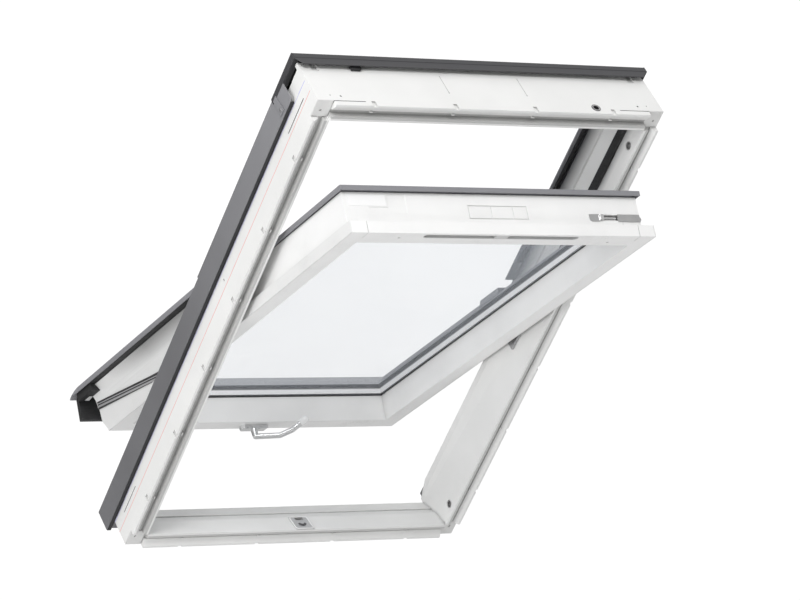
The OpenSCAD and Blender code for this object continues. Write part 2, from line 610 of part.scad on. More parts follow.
function bottom_skin() = [[0, rim_n], [12, rim_n + 10], [32, top_n], [78, top_n], [96, 109.8], [110, 106],
    [118, 102.5], [122, 99], [120, 97.6], [116, 100.6], [109, 103.6], [95.6, 107.4], [77.8, top_n - 2.2],
    [32.6, top_n - 2.2], [13, rim_n + 8.4], [2.6, rim_n]];
module sash_cover_bottom() color("gray") on_sash() union() {
    intersection() {
        along_x(-rim_x - 69, rim_x + 69) translate([rim_v[1], 0]) polygon(bottom_skin());
        corner_wedge(rim_v[1], 1);
    }
    for (s = [-1, 1]) mirror([s < 0 ? 1 : 0, 0, 0])
        along_x(rim_x + 67, rim_x + 69) polygon([[rim_v[1] + 69, low_n], [608, low_n], [612, 103],
            [612, 105], [603, 107.6], [586, 110.4], [rim_v[1] + 69, 111]]);
}

// ---------- barrel bolt ----------

plate_t = 1.5;
// Rounded end plate and the bar over the bolt, with the open slot for the knob between them
module bolt_housing() color("silver") on_sash() {
    translate([0, sash_top_v, bolt_n - 1]) rotate([90, 0, 0]) linear_extrude(plate_t) hull() {
        translate([220.5, 0]) circle(r = 7.5);
        translate([236, 0]) square([2, 15], center = true);
    }
    difference() {
        box([280, sash_top_v - plate_t, bolt_n - 8.6], [sash_body_x - 0.5, sash_top_v, bolt_n + 6.7]);
        box([289.6, sash_top_v - plate_t - 1, bolt_n - 9], [290.4, sash_top_v - plate_t + 0.6, bolt_n - 4.3]);
    }
}
module barrel_bolt() color("gainsboro") on_sash() {
    rod_x(228, 338, bolt_v, bolt_n, bolt_r);
    box([237.5, sash_top_v - 4, bolt_n - 5.4], [246, bolt_v, bolt_n + 5.4]);
}

// ---------- handle and latch ----------

latch_x = 13;
base_n = 8;
base_x0 = -40;
base_x1 = 21;
base_v = [518, 540];
tongue_w = 6;
module handle_base() color("silver") on_sash() difference() {
    translate([0, 0, -base_n]) linear_extrude(base_n) polygon([[base_x0 + 6, base_v[0]], [base_x1, base_v[0]],
        [base_x1, base_v[1]], [base_x0 + 6, base_v[1]], [base_x0, base_v[1] - 7], [base_x0, base_v[0] + 7]]);
    translate([spindle_x, spindle_v, -base_n - 1]) cylinder(r = 4.06, h = base_n - 0.5);
    box([latch_x - tongue_w - 0.3, base_v[0] + 3, -base_n + 1.4],
        [latch_x + tongue_w + 0.3, base_v[1] + 1, -1.4]);
    for (x = [-27, 1]) translate([x, base_v[0] + 4, -base_n - 1]) cylinder(r = 2.6, h = 2.2);
}
module latch_tongue() color("gainsboro") on_sash()
    box([latch_x - tongue_w, base_v[0] + 4, -base_n + 1.7], [latch_x + tongue_w, 543.5, -1.7]);
// Grip: down from the spindle, then an arched bar that rises again over the sash opening
grip_dir = [98, -59, 0] / norm([98, -59, 0]);
grip_side = [-grip_dir[1], grip_dir[0], 0];
function grip_at(run, n) = [spindle_x, spindle_v, n] + run * grip_dir;
grip_path = [grip_at(0, -25.5), grip_at(52, -33), grip_at(80, -26), grip_at(104, -12.6)];
grip_end = grip_at(112, -8.2);
module grip_knot(p, d) for (s = [-1, 1]) translate(p + s * 2.5 * grip_side) sphere(d = d, $fn = 24);
module handle_lever() color("lightgray") on_sash() {
    translate([spindle_x, spindle_v, -base_n + 2.5]) mirror([0, 0, 1]) cylinder(r = 4, h = 6);
    hull() {
        translate([spindle_x, spindle_v, -base_n - 0.3]) mirror([0, 0, 1]) cylinder(r = 7.5, h = 3);
        grip_knot(grip_path[0], grip_d);
    }
    for (i = [0:len(grip_path) - 2]) hull() {
        grip_knot(grip_path[i], grip_d);
        grip_knot(grip_path[i + 1], grip_d);
    }
}
module handle_tip() color("white") on_sash() difference() {
    hull() {
        grip_knot(grip_at(101, -14.2), grip_d + 1.6);
        grip_knot(grip_end, grip_d + 1.6);
    }
    hull() {
        grip_knot(grip_path[2], grip_d);
        grip_knot(grip_path[3], grip_d);
    }
}
function sill_in(n) = in_v + n * sill_face[5][0] / sill_face[5][1];
striker_n = [2, 44];
module striker() color("silver") installed() difference() {
    along_x(latch_x - 21, latch_x + 21) polygon([[sill_in(striker_n[0]) - 1.6, striker_n[0]],
        [sill_in(striker_n[1]) - 1.6, striker_n[1]], [sill_in(striker_n[1]) - eps, striker_n[1]],
        [sill_in(striker_n[0]) - eps, striker_n[0]]]);
    box([latch_x - 9, in_v - 5, 33], [latch_x + 9, in_v + 12, 43]);
}

frame_head();
frame_sill();
frame_jamb_left();
frame_jamb_right();
corner_blocks();
riser_left();
riser_right();
riser_head();
frame_cover_left();
frame_cover_right();
frame_cover_bottom();
hood();
hood_side_left();
hood_side_right();
arm_fitting_left();
arm_fitting_right();
fitting_screws();
cover_clip();
cover_edge_trim();
outer_seal();
inner_seal();
striker();
bolt_bushes();
cable_grommet();
hinge_frame_left();
hinge_frame_right();
hinge_frame_screws();
sash_stile_left();
sash_stile_right();
sash_top_rail();
sash_bottom_rail();
side_seal_left();
side_seal_right();
bottom_seal();
sash_end_caps();
glass_inner();
glass_outer();
glass_spacer();
glass_edge_seal();
glazing_gasket_inner();
glazing_gasket_outer();
sash_cover_top();
sash_cover_upper_left();
sash_cover_upper_right();
sash_cover_lower_left();
sash_cover_lower_right();
sash_cover_bottom();
cover_seals();
vent_insert();
label_plate();
centre_plates();
bolt_housing();
hinge_sash_left();
hinge_sash_right();
hinge_sash_screws();
handle_base();
barrel_bolt();
handle_lever();
handle_tip();
latch_tongue();
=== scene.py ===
"""Centre-pivot roof skylight: finishes, small details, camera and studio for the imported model."""
import math

import bmesh
import bpy
from mathutils import Matrix, Vector


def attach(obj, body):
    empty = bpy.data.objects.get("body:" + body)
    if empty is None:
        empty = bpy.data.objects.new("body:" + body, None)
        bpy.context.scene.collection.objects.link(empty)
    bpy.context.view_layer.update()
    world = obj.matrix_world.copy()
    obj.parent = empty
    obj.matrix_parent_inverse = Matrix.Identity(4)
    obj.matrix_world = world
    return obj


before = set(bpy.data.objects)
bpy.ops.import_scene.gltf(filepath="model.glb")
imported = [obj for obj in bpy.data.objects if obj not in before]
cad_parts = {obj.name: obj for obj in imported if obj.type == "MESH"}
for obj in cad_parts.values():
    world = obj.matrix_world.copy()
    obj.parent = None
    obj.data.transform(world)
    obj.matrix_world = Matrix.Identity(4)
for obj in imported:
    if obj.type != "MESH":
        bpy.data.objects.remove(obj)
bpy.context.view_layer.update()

# ---------- the window's own axes, in millimetres ----------
# x runs to the right, v down the slope and n outward through the roof.
MM_PER_M = 1000.0
PITCH = math.radians(47)
PIVOT_V, PIVOT_N = 7.7, 152.6
CLOSED_V, CLOSED_N = 3.0, 44.0  # the sash's own origin while it is closed
OPEN_ANGLE = math.radians(26.1)

# Sizes of part.scad that the finishes and details follow
FRAME_INNER_X, FRAME_INNER_V = 355.6, 551.4
GROMMET_X, GROMMET_N = 233.0, 17.0
COVER_RIM_X, COVER_RIM_V = 309.0, 506.0
SEAL_START_V, SEAL_TOP_N, SEAL_SLOPE = 319.0, 38.1, 0.142
SILL_SLOPE = 8.6 / 46


def on_frame(x, v, n):
    """A point of the fixed frame, in metres in the shared frame."""
    c, s = math.cos(PITCH), math.sin(PITCH)
    return Vector((x, v * c + n * s, n * c - v * s)) / MM_PER_M


def on_sash(x, v, n):
    """A point of the sash as it stands open at rest."""
    c, s = math.cos(OPEN_ANGLE), math.sin(OPEN_ANGLE)
    dv, dn = v + CLOSED_V - PIVOT_V, n + CLOSED_N - PIVOT_N
    return on_frame(x, PIVOT_V + dv * c - dn * s, PIVOT_N + dv * s + dn * c)


def axis_of(place, d):
    """Unit vector of a direction (x, v, n) given on the frame or on the sash."""
    return (place(*d) - place(0, 0, 0)).normalized()


FRAME_ORIGIN = on_frame(0, 0, 0)
SASH_ORIGIN = on_sash(0, 0, 0)

# ---------- node materials ----------

NOISE_LOW, NOISE_HIGH = 0.3, 0.7  # a noise value is mostly between these
SHADOW_GREY = (0.12, 0.12, 0.12)


class Nodes:
    """Short way to build a node tree around one Principled shader."""

    def __init__(self, name):
        self.mat = bpy.data.materials.new(name)
        self.mat.use_nodes = True
        self.tree = self.mat.node_tree
        self.shader = self.tree.nodes["Principled BSDF"]
        self.place = self.add("ShaderNodeTexCoord").outputs["Object"]

    def add(self, kind, **props):
        node = self.tree.nodes.new(kind)
        for key, value in props.items():
            setattr(node, key, value)
        return node

    def feed(self, source, socket):
        """Link a node output, or set a constant, on an input socket."""
        if isinstance(source, bpy.types.NodeSocket):
            self.tree.links.new(source, socket)
        else:
            socket.default_value = source

    def math(self, op, *args, clamp=False):
        node = self.add("ShaderNodeMath", operation=op, use_clamp=clamp)
        for value, socket in zip(args, node.inputs):
            self.feed(value, socket)
        return node.outputs[0]

    def times(self, first, *others):
        """Product of two or more values."""
        for other in others:
            first = self.math("MULTIPLY", first, other)
        return first

    def noise(self, scale, detail=3.0, rough=0.55, stretch=None):
        node = self.add("ShaderNodeTexNoise")
        vector = self.place
        if stretch:
            mapping = self.add("ShaderNodeMapping")
            mapping.inputs["Scale"].default_value = stretch
            self.feed(self.place, mapping.inputs["Vector"])
            vector = mapping.outputs["Vector"]
        self.feed(vector, node.inputs["Vector"])
        node.inputs["Scale"].default_value = scale
        node.inputs["Detail"].default_value = detail
        node.inputs["Roughness"].default_value = rough
        return node.outputs["Fac"]

    def ramp(self, value, low, high, out_low=0.0, out_high=1.0):
        """Map low to high onto out_low to out_high, clamped."""
        node = self.add("ShaderNodeMapRange")
        for item, socket in zip((value, low, high, out_low, out_high), node.inputs):
            self.feed(item, socket)
        return node.outputs["Result"]

    def along(self, origin, direction):
        """Distance in millimetres from a point along a direction, fixed to the piece."""
        node = self.add("ShaderNodeVectorMath", operation="DOT_PRODUCT")
        self.feed(self.place, node.inputs[0])
        node.inputs[1].default_value = direction
        start = -MM_PER_M * origin.dot(direction)
        return self.math("MULTIPLY_ADD", node.outputs["Value"], MM_PER_M, start)

    def mix(self, fac, a, b, blend="MIX"):
        """Blend two colours, each a link or three numbers."""
        node = self.add("ShaderNodeMix", data_type="RGBA", blend_type=blend)
        self.feed(fac, node.inputs["Factor"])
        for value, name in ((a, "A"), (b, "B")):
            socket = next(s for s in node.inputs if s.name == name and s.type == "RGBA")
            linked = isinstance(value, bpy.types.NodeSocket)
            self.feed(value if linked else (*value, 1.0), socket)
        return next(s for s in node.outputs if s.type == "RGBA")

    def crevice_shade(self, colour, reach, depth):
        """Painted shade: darken grooves and inside corners narrower than the given reach."""
        ao = self.add("ShaderNodeAmbientOcclusion", samples=8)
        ao.inputs["Distance"].default_value = reach
        hidden = self.ramp(ao.outputs["AO"], 0.25, 0.85, depth, 0.0)
        return self.mix(hidden, colour, SHADOW_GREY)

    def band(self, value, low, high, soft=0.2):
        """1 between two values, falling to 0 just outside them."""
        up = self.ramp(value, low - soft, low)
        down = self.ramp(value, high, high + soft, 1.0, 0.0)
        return self.times(up, down)

    def relief(self, height, distance, strength=1.0, edge=0.0006):
        """Bump over slightly rounded edges."""
        bump = self.add("ShaderNodeBump")
        bump.inputs["Distance"].default_value = distance
        bump.inputs["Strength"].default_value = strength
        self.feed(height, bump.inputs["Height"])
        bevel = self.add("ShaderNodeBevel", samples=4)
        bevel.inputs["Radius"].default_value = edge
        self.feed(bevel.outputs["Normal"], bump.inputs["Normal"])
        self.feed(bump.outputs["Normal"], self.shader.inputs["Normal"])


def tinted(rgb, factor):
    """A plain colour made lighter or darker."""
    return tuple(min(c * factor, 1.0) for c in rgb)


def tinted_mix(m, colour, factor):
    """A colour link made lighter or darker."""
    return m.mix(1.0, colour, (factor, factor, factor), "MULTIPLY")


def moulded(name, rgb, rough=0.38, blotch=0.03, grain=900, relief=0.00005, crevice_shade=0.0,
            reach=0.011, extra=None):
    """Moulded or lacquered surface: faint blotches, fine grain, slightly rounded edges."""
    m = Nodes(name)
    cloud = m.noise(7.0, 4.0)
    fine = m.noise(grain, 2.0)
    colour = m.mix(m.ramp(cloud, NOISE_LOW, NOISE_HIGH), tinted(rgb, 1 - blotch),
                   tinted(rgb, 1 + blotch))
    # painted shade in grooves and inside corners, from ambient occlusion
    if crevice_shade:
        colour = m.crevice_shade(colour, reach, crevice_shade)
    if extra:
        colour = extra(m, colour)
    m.feed(colour, m.shader.inputs["Base Color"])
    m.feed(m.ramp(m.math("ADD", cloud, fine), 2 * NOISE_LOW, 2 * NOISE_HIGH, rough - 0.06,
                  rough + 0.08), m.shader.inputs["Roughness"])
    m.relief(fine, relief, 0.5, edge=0.0007)
    return m.mat


def painted(name, rgb, rough=0.42, extra=None):
    """Powder-coated sheet: fine orange peel, faint clouds and rubbed edges."""
    m = Nodes(name)
    peel = m.noise(650, 2.0, 0.5)
    cloud = m.noise(9.0, 5.0)
    colour = m.mix(m.ramp(cloud, 0.35, NOISE_HIGH), tinted(rgb, 0.94), tinted(rgb, 1.07))
    wear = m.ramp(m.add("ShaderNodeNewGeometry").outputs["Pointiness"], 0.53, 0.6)
    colour = m.mix(m.times(wear, 0.35), colour, tinted(rgb, 1.5))
    if extra:
        colour = extra(m, colour)
    m.feed(colour, m.shader.inputs["Base Color"])
    m.feed(m.ramp(cloud, NOISE_LOW, NOISE_HIGH, rough - 0.05, rough + 0.07),
           m.shader.inputs["Roughness"])
    m.relief(peel, 0.00008, 0.45)
    return m.mat


def rubber(name, rgb, rough=0.62, extra=None):
    """Extruded rubber: dull, with faint streaks and dust."""
    m = Nodes(name)
    dust = m.noise(60, 4.0)
    streak = m.noise(300, 2.0, stretch=(0.1, 1.0, 1.0))
    colour = m.mix(m.ramp(dust, 0.45, 0.8), rgb, tinted(rgb, 1.7))
    if extra:
        colour = extra(m, colour)
    m.feed(colour, m.shader.inputs["Base Color"])
    m.feed(m.ramp(streak, NOISE_LOW, NOISE_HIGH, rough - 0.08, rough + 0.1),
           m.shader.inputs["Roughness"])
    m.relief(streak, 0.0001, 0.5, edge=0.0004)
    return m.mat


def metal(name, rgb, rough):
    """Brushed or plated metal with streaks along x."""
    m = Nodes(name)
    brush = m.noise(120, 5.0, stretch=(1.0, 20.0, 20.0))
    cloud = m.noise(25, 3.0)
    m.feed(m.mix(m.ramp(cloud, NOISE_LOW, NOISE_HIGH), tinted(rgb, 0.92), tinted(rgb, 1.06)),
           m.shader.inputs["Base Color"])
    m.feed(m.ramp(brush, NOISE_LOW, NOISE_HIGH, rough - 0.08, rough + 0.12),
           m.shader.inputs["Roughness"])
    m.shader.inputs["Metallic"].default_value = 1.0
    m.relief(brush, 0.00006, 0.4)
    return m.mat


def glass(name, rgb, alpha):
    """Clear float glass: mostly see-through, with a faint tint and a film of dust."""
    m = Nodes(name)
    film = m.noise(4.0, 5.0, 0.6)
    m.feed(m.mix(m.ramp(film, 0.3, 0.75), tinted(rgb, 0.97), rgb), m.shader.inputs["Base Color"])
    m.feed(m.ramp(film, 0.35, 0.8, alpha * 0.92, alpha * 1.12), m.shader.inputs["Alpha"])
    m.feed(m.ramp(film, 0.3, 0.8, 0.02, 0.05), m.shader.inputs["Roughness"])
    m.shader.inputs["Coat Weight"].default_value = 0.6
    m.shader.inputs["Coat Roughness"].default_value = 0.02
    return m.mat


# ---------- finishes that vary with the place on the window, most of them painted shade and light ---
# They give tones that the photograph shows in fixed places, and move with their piece.

# grey of the painted shade on the inner faces by the head's seal
SEAL_PAINTED_SHADE_GREY = (0.2, 0.2, 0.2)


def frame_axis(m, x=0, v=0, n=0):
    """Distance in millimetres along one of the frame's own axes."""
    return m.along(FRAME_ORIGIN, axis_of(on_frame, (x, v, n)))


def sash_axis(m, x=0, v=0, n=0):
    """Distance in millimetres along one of the sash's own axes."""
    return m.along(SASH_ORIGIN, axis_of(on_sash, (x, v, n)))


def riser_shade(m, colour):
    """Painted shade: the raised edge is dark next to its seal and clears towards the jamb."""
    return m.mix(m.ramp(frame_axis(m, n=1), 104.0, 148.0), colour, (0.12, 0.12, 0.125))


SIDE_FACE_X = 387.4  # past this, a point is on the outer face of a jamb
DEPTH_LINES = (  # n from, n to, colour
    (46.2, 47.6, (0.85, 0.20, 0.18)),
    (75.0, 76.4, (0.28, 0.30, 0.85)),
)
SIDE_SLITS = ((54.9, 57.1, -557, -471), (59.1, 60.9, 470, 545))  # n from, n to, v from, v to
HEAD_SLIT = (11.2, 12.8, 287, 383)  # n from, n to, |x| from, |x| to
HEAD_FACE_V = -585.0
SEAL_SHADE_X, SEAL_SHADE_V, SEAL_SHADE_N = 362.0, -551.3, 46.6  # the shaded inner faces end here


def frame_marks(m, colour):
    """Coloured depth lines on the sides, dark slits, painted shade in the lining groove and by the
    head's seal.
    """
    x, v, n = frame_axis(m, x=1), frame_axis(m, v=1), frame_axis(m, n=1)
    out_x, out_v = m.math("ABSOLUTE", x), m.math("ABSOLUTE", v)

    side = m.math("GREATER_THAN", out_x, SIDE_FACE_X)
    length = m.times(side, m.band(v, -584, 592))
    for low, high, line in DEPTH_LINES:
        colour = m.mix(m.times(length, m.band(n, low, high), 0.7), colour, line)

    upper, lower = (m.times(m.band(n, n_low, n_high, 0.1), m.band(v, v_low, v_high))
                    for n_low, n_high, v_low, v_high in SIDE_SLITS)
    n_low, n_high, x_low, x_high = HEAD_SLIT
    head = m.times(m.band(n, n_low, n_high, 0.1), m.band(out_x, x_low, x_high),
                   m.math("LESS_THAN", v, HEAD_FACE_V))
    slit = m.math("ADD", m.times(side, m.math("ADD", upper, lower)), head, clamp=True)
    colour = m.mix(slit, colour, (0.05, 0.05, 0.05))

    # painted shade in the lining groove round the opening
    across = m.math("MAXIMUM", m.math("SUBTRACT", out_x, FRAME_INNER_X),
                    m.math("SUBTRACT", out_v, FRAME_INNER_V))
    groove = m.times(m.band(across, 5.0, 17.0, 1.0), m.ramp(n, 13.0, 15.5, 1.0, 0.0), 0.45)
    colour = m.mix(groove, colour, (0.2, 0.2, 0.195))

    # painted shade on the inner faces next to the head's seal, fading down the slope
    inside = m.times(m.math("LESS_THAN", out_x, SEAL_SHADE_X),
                     m.math("GREATER_THAN", v, SEAL_SHADE_V))
    by_seal = m.times(m.ramp(v, -380, -300, 1.0, 0.0), m.ramp(n, 28.0, 46.0, 0.0, 0.6),
                      m.math("LESS_THAN", n, SEAL_SHADE_N))
    return m.mix(m.times(inside, by_seal), colour, SEAL_PAINTED_SHADE_GREY)


def grommet_rings(m, colour):
    """Pale collar round a dark bore."""
    dx = m.math("SUBTRACT", frame_axis(m, x=1), GROMMET_X)
    dn = m.math("SUBTRACT", frame_axis(m, n=1), GROMMET_N)
    radius = m.math("SQRT", m.math("ADD", m.times(dx, dx), m.times(dn, dn)))
    return m.mix(m.band(radius, 6.3, 8.2), colour, (0.42, 0.42, 0.42))


def stile_shade(m, colour):
    """Painted shade on a stile's outer face: a little over all of it, more under the overhanging
    cover, strongest by the pivot.
    """
    v, n = sash_axis(m, v=1), sash_axis(m, n=1)
    outer = m.math("GREATER_THAN", m.math("ABSOLUTE", sash_axis(m, x=1)), 340.0)
    under = m.times(m.ramp(n, 58.0, 100.0, 0.0, 0.8), m.band(v, 60.0, 300.0, 220.0))
    return m.mix(m.times(outer, m.math("MAXIMUM", under, 0.14)), colour, SHADOW_GREY)


def spacer_shade(m, colour):
    """Painted shade: the bar between the panes is bright below and dark where it meets the outer
    pane.
    """
    return m.mix(m.ramp(sash_axis(m, n=1), 70.0, 73.0), colour, (0.05, 0.05, 0.055))


def skin_rim(m, colour):
    """Covers' rim: a pale painted reflection at the glass, painted shade in the fold; the bottom
    rim painted lighter grey.
    """
    x, v = m.math("ABSOLUTE", sash_axis(m, x=1)), sash_axis(m, v=1)
    past_x, past_v = m.math("SUBTRACT", x, COVER_RIM_X), m.math("SUBTRACT", v, COVER_RIM_V)
    lower_half = m.times(m.math("GREATER_THAN", v, 10.0), m.math("LESS_THAN", v, COVER_RIM_V))
    # painted reflection, pale, at the glass and painted shade, dark, in the fold
    slope = m.mix(m.ramp(past_x, 0.0, 11.0), (0.60, 0.61, 0.64), (0.07, 0.072, 0.08))
    colour = m.mix(m.times(lower_half, m.ramp(past_x, 11.0, 15.0, 1.0, 0.0)), colour, slope)
    # bottom rim painted a lighter grey to stand in for light on it
    bottom = m.times(m.band(past_v, 0.0, 30.0, 2.0), m.math("LESS_THAN", past_x, past_v))
    return m.mix(bottom, colour, (0.36, 0.365, 0.385))


def cladding_painted_light(m, colour):
    """Painted light: the upper end of the frame's side cladding is paler, darkening down the slope.
    """
    return m.mix(m.ramp(frame_axis(m, v=1), -600, 100), tinted_mix(m, colour, 1.6),
                 tinted_mix(m, colour, 0.9))


def seal_stripes(m, colour):
    """Double seal along the slanted edge: two grey lines between its dark lips."""
    v, n = sash_axis(m, v=1), sash_axis(m, n=1)
    top = m.math("MULTIPLY_ADD", m.math("SUBTRACT", v, SEAL_START_V), SEAL_SLOPE, SEAL_TOP_N)
    depth = m.math("SUBTRACT", top, n)
    colour = m.mix(m.band(depth, 4.9, 6.3), colour, (0.42, 0.42, 0.43))
    return m.mix(m.band(depth, 9.6, 13.6), colour, (0.34, 0.34, 0.345))


# ---------- materials ----------

WHITE = (0.86, 0.86, 0.85)
SASH_WHITE = (0.92, 0.92, 0.915)
BLACK = (0.018, 0.018, 0.019)

frame_white = moulded("frame_white", WHITE, crevice_shade=0.5, extra=frame_marks)
riser_white = moulded("riser_white", WHITE, extra=riser_shade)
corner_white = moulded("corner_white", tinted(WHITE, 0.9), grain=500, relief=0.0001, crevice_shade=0.4)
stile_white = moulded("stile_white", SASH_WHITE, rough=0.3, grain=1200, crevice_shade=0.25, reach=0.03,
                      extra=stile_shade)
sash_white = moulded("sash_white", SASH_WHITE, rough=0.3, grain=1200, crevice_shade=0.14)
trim_white = moulded("trim_white", (0.90, 0.90, 0.895), rough=0.45)
label_white = moulded("label_white", (0.97, 0.97, 0.97), rough=0.25)
grommet_black = moulded("grommet_black", BLACK, rough=0.5, extra=grommet_rings)
vent_grey = moulded("vent_grey", (0.62, 0.62, 0.62), rough=0.5, crevice_shade=0.5)
cladding = painted("cladding", (0.15, 0.15, 0.158), extra=cladding_painted_light)
hood_paint = painted("hood_paint", (0.048, 0.048, 0.052))
sash_paint = painted("sash_paint", (0.22, 0.22, 0.235), extra=skin_rim)
black_plastic = moulded("black_plastic", BLACK, rough=0.5, grain=400, relief=0.0001)
seal_black = rubber("seal_black", (0.016, 0.016, 0.017))
seal_striped = rubber("seal_striped", (0.03, 0.03, 0.031), extra=seal_stripes)
zinc = metal("zinc", (0.62, 0.62, 0.62), 0.34)
bolt_metal = metal("bolt_metal", (0.78, 0.78, 0.78), 0.2)
hinge_steel = metal("hinge_steel", (0.5, 0.5, 0.51), 0.38)
handle_metal = metal("handle_metal", (0.74, 0.745, 0.75), 0.26)
spacer_metal = moulded("spacer_metal", (0.97, 0.97, 0.98), rough=0.3, extra=spacer_shade)
dark_steel = metal("dark_steel", (0.16, 0.16, 0.165), 0.4)
tip_white = moulded("tip_white", (0.98, 0.98, 0.98), rough=0.2)
pane = glass("pane", (0.80, 0.87, 0.96), 0.10)

FINISH = {
    frame_white: ["frame_head", "frame_sill", "frame_jamb_left", "frame_jamb_right"],
    riser_white: ["riser_left", "riser_right", "riser_head"],
    corner_white: ["corner_blocks"],
    stile_white: ["sash_stile_left", "sash_stile_right"],
    sash_white: ["sash_top_rail", "sash_bottom_rail"],
    trim_white: ["centre_plates"],
    label_white: ["label_plate"],
    grommet_black: ["cable_grommet"],
    vent_grey: ["vent_insert"],
    cladding: ["frame_cover_left", "frame_cover_right", "frame_cover_bottom", "hood_side_left",
               "hood_side_right", "arm_fitting_left", "arm_fitting_right"],
    hood_paint: ["hood"],
    sash_paint: ["sash_cover_top", "sash_cover_upper_left", "sash_cover_upper_right",
                 "sash_cover_lower_left", "sash_cover_lower_right", "sash_cover_bottom"],
    black_plastic: ["cover_clip", "cover_edge_trim", "sash_end_caps"],
    seal_black: ["outer_seal", "inner_seal", "bottom_seal", "cover_seals", "glass_edge_seal",
                 "glazing_gasket_inner", "glazing_gasket_outer"],
    seal_striped: ["side_seal_left", "side_seal_right"],
    zinc: ["fitting_screws", "striker", "bolt_bushes", "bolt_housing", "latch_tongue",
           "hinge_frame_screws", "hinge_sash_screws"],
    bolt_metal: ["barrel_bolt"],
    hinge_steel: ["hinge_frame_left", "hinge_frame_right", "hinge_sash_left",
                  "hinge_sash_right"],
    handle_metal: ["handle_base", "handle_lever"],
    spacer_metal: ["glass_spacer"],
    tip_white: ["handle_tip"],
    pane: ["glass_inner", "glass_outer"],
}
for finish, names in FINISH.items():
    for name in names:
        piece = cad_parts[name]
        piece.data.materials.clear()
        piece.data.materials.append(finish)

# ---------- small detail pieces ----------


def add_piece(name, rows, finish, body, closed=False):
    """Skin rows of points into a smooth piece that rides on one body of the part."""
    bm = bmesh.new()
    skin_rows(bm, rows, closed)
    bmesh.ops.recalc_face_normals(bm, faces=bm.faces)
    mesh = bpy.data.meshes.new(name)
    bm.to_mesh(mesh)
    bm.free()
    mesh.shade_smooth()
    mesh.materials.append(finish)
    piece = bpy.data.objects.new(name, mesh)
    bpy.context.scene.collection.objects.link(piece)
    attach(piece, body)


def skin_rows(bm, rows, closed):
    """Faces between rows of the same number of points; the end rows are capped unless closed."""
    rows = [[bm.verts.new(p) for p in row] for row in rows]
    count = len(rows[0])
    for a, b in zip(rows, rows[1:] + rows[:1] if closed else rows[1:]):
        for i in range(count):
            bm.faces.new((a[i], a[(i + 1) % count], b[(i + 1) % count], b[i]))
    if not closed:
        bm.faces.new(rows[0])
        bm.faces.new(rows[-1])


def rounded(width, height, radius, steps=6):
    """Outline of a rectangle with round corners about its centre."""
    points = []
    for k, (sx, sy) in enumerate([(1, 1), (-1, 1), (-1, -1), (1, -1)]):
        cx, cy = sx * (width / 2 - radius), sy * (height / 2 - radius)
        for i in range(steps + 1):
            angle = math.radians(90 * (k + i / steps))
            points.append((cx + radius * math.cos(angle), cy + radius * math.sin(angle)))
    return points


LATCH_X, LATCH_N = 13, 23  # centre of the latch plate on the sill
SILL_COS, SILL_SIN = 0.983, 0.184  # of the slope of the sill's inner face


def on_sill(a, b, h):
    """A point a across and b up from the latch plate's centre, h proud of the sill's face."""
    n = LATCH_N + SILL_COS * b
    face_v = FRAME_INNER_V + n * SILL_SLOPE
    return on_frame(LATCH_X + a, face_v - SILL_COS * h, n + SILL_SIN * h)


# Raised rim round the latch plate: width, corner radius and height of each row
RIM_ROWS = ((43, 6, 0.4), (43, 6, 2.2), (42, 5.5, 2.7), (40, 4.5, 2.7), (39, 4, 2.2), (39, 4, 1.2))
add_piece("latch_plate_rim",
          [[on_sill(a, b, h) for a, b in rounded(w, w, r)] for w, r, h in RIM_ROWS],
          tip_white, "frame", closed=True)

# Crescent that the latch tongue pulls against: scale and height of each row
CRESCENT_ROWS = ((1, 1.4), (1, 2.4), (0.95, 2.9))
arc = [math.radians(195 + 150 * i / 14) for i in range(15)]
crescent = [(10 * math.cos(t), 10 * math.sin(t) - 1) for t in arc]
crescent += [(6 * math.cos(t), 6 * math.sin(t) + 0.5) for t in reversed(arc)]
add_piece("latch_plate_crescent",
          [[on_sill(a * g, b * g, h) for a, b in crescent] for g, h in CRESCENT_ROWS],
          dark_steel, "frame")

# Wide head of the clip that holds the hood: inset and height of each row
CLIP_X, CLIP_V, CLIP_N = -270.2, -591.2, 108.5
CLIP_ROWS = ((0, -0.6), (0, 3.6), (1.2, 4.4))
add_piece("cover_clip_head",
          [[on_frame(CLIP_X + a, CLIP_V - h, CLIP_N + b) for a, b in rounded(21 - t, 13 - t, 1.5)]
           for t, h in CLIP_ROWS],
          black_plastic, "frame")

# Bulbous cap on the end of the handle: place along its axis and radius of each row
TIP_ROWS = ((-3.5, 6.4), (-2, 7.0), (2, 7.5), (6, 7.9), (10, 7.8), (13, 7.1), (15, 5.8),
            (16.4, 3.6), (16.8, 1.2))
TIP_STEPS = 28
TIP_WIDER = 1 + 2.6 / 8  # the cap is wider than it is high
SPINDLE_END = Vector((-10, 524, -13.4))
LEVER_LENGTH = 102
lever_run = Vector((98, -59, 0)).normalized()
lever_side = Vector((59, 98, 0)).normalized()
tip_axis = (lever_run * 0.878 + Vector((0, 0, 0.479))).normalized()
tip_rise = tip_axis.cross(lever_side)
tip_start = SPINDLE_END + lever_run * LEVER_LENGTH


def tip_point(along, r, step):
    """A point of the cap's surface, on the sash."""
    t = 2 * math.pi * step / TIP_STEPS
    across = lever_side * (r * TIP_WIDER * math.cos(t)) + tip_rise * (r * math.sin(t))
    return on_sash(*(tip_start + tip_axis * along + across))


add_piece("handle_tip_cap",
          [[tip_point(along, r, step) for step in range(TIP_STEPS)] for along, r in TIP_ROWS],
          tip_white, "handle")

# ---------- camera ----------
# Solved from the photograph's straight edges.

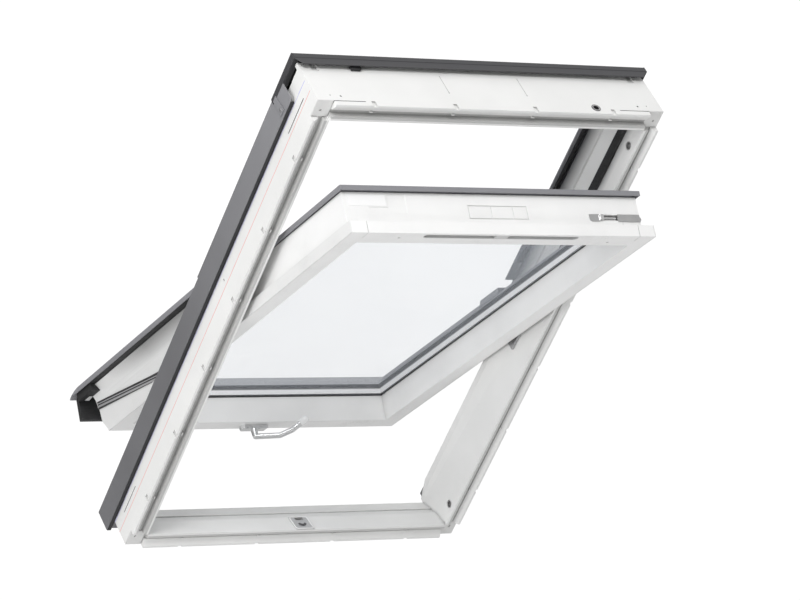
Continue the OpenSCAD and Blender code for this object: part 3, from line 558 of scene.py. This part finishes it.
CAMERA_AT = (-3.80836, -6.45663, -0.00227)
CAMERA_RIGHT = (0.860183, -0.509979, -0.002577)
CAMERA_UP = (-0.002887, -0.009922, 0.999947)
CAMERA_FORWARD = (0.509977, 0.860130, 0.010006)
camera = bpy.data.objects.new("camera", bpy.data.cameras.new("camera"))
bpy.context.scene.collection.objects.link(camera)
columns = (CAMERA_RIGHT, CAMERA_UP, [-c for c in CAMERA_FORWARD])
camera.matrix_world = Matrix.Translation(CAMERA_AT) @ Matrix(columns).transposed().to_4x4()
camera.data.sensor_width = 36.0
camera.data.lens = 168.53
camera.data.clip_end = 100.0
bpy.context.scene.camera = camera

# ---------- floor ----------

FLOOR_Z = -0.8
FLOOR_RADIUS = 3.6
FLOOR_STEPS = 96
FLOOR_FADE = (2.6, 3.5)  # from here to here the floor brightens into the backdrop
floor_mat = Nodes("floor_pale")
floor_mat.feed(floor_mat.mix(floor_mat.noise(0.6, 2.0), (0.78, 0.78, 0.78), (0.82, 0.82, 0.82)),
               floor_mat.shader.inputs["Base Color"])
floor_mat.shader.inputs["Roughness"].default_value = 0.9
floor_mat.shader.inputs["Emission Color"].default_value = (1.0, 1.0, 1.0, 1.0)
from_centre = floor_mat.add("ShaderNodeVectorMath", operation="LENGTH")
floor_mat.feed(floor_mat.place, from_centre.inputs[0])
floor_mat.feed(floor_mat.ramp(from_centre.outputs["Value"], *FLOOR_FADE, 0.0, 0.9),
               floor_mat.shader.inputs["Emission Strength"])
floor_mesh = bpy.data.meshes.new("floor")
angles = [2 * math.pi * k / FLOOR_STEPS for k in range(FLOOR_STEPS)]
floor_mesh.from_pydata([(FLOOR_RADIUS * math.cos(a), FLOOR_RADIUS * math.sin(a), FLOOR_Z)
                        for a in angles], [], [range(FLOOR_STEPS)])
floor = bpy.data.objects.new("floor", floor_mesh)
floor.data.materials.append(floor_mat.mat)
bpy.context.scene.collection.objects.link(floor)

# ---------- backdrop and light ----------
# A white backdrop for the camera; the light it gives falls off from overhead to the horizon.

BACKDROP = 1.05
HORIZON_LIGHT, OVERHEAD_LIGHT = 0.14, 0.92
world = bpy.data.worlds.new("studio")
world.use_nodes = True
sky = world.node_tree
background = sky.nodes["Background"]
background.inputs["Color"].default_value = (1.0, 1.0, 1.0, 1.0)
ray = sky.nodes.new("ShaderNodeLightPath")
place = sky.nodes.new("ShaderNodeTexCoord")
split = sky.nodes.new("ShaderNodeSeparateXYZ")
dome = sky.nodes.new("ShaderNodeMapRange")
pick = sky.nodes.new("ShaderNodeMix")
dome.inputs["To Min"].default_value = HORIZON_LIGHT
dome.inputs["To Max"].default_value = OVERHEAD_LIGHT
pick.inputs["B"].default_value = BACKDROP
sky.links.new(place.outputs["Generated"], split.inputs["Vector"])
sky.links.new(split.outputs["Z"], dome.inputs["Value"])
sky.links.new(dome.outputs["Result"], pick.inputs["A"])
sky.links.new(ray.outputs["Is Camera Ray"], pick.inputs["Factor"])
sky.links.new(pick.outputs["Result"], background.inputs["Strength"])
bpy.context.scene.world = world
bpy.context.scene.view_settings.view_transform = "Standard"
bpy.context.scene.view_settings.look = "None"


def soft_light(name, location, size, power):
    """Square area light in metres and watts, aimed at the middle of the window."""
    data = bpy.data.lights.new(name, "AREA")
    data.shape = "SQUARE"
    data.size = size
    data.energy = power
    lamp = bpy.data.objects.new(name, data)
    lamp.location = location
    lamp.rotation_mode = "QUATERNION"
    lamp.rotation_quaternion = (-Vector(location)).to_track_quat("-Z", "Y")
    bpy.context.scene.collection.objects.link(lamp)


soft_light("key", (-2.9, -3.8, 3.4), 2.2, 150)
soft_light("side", (-5.0, -2.5, 0.1), 2.0, 95)
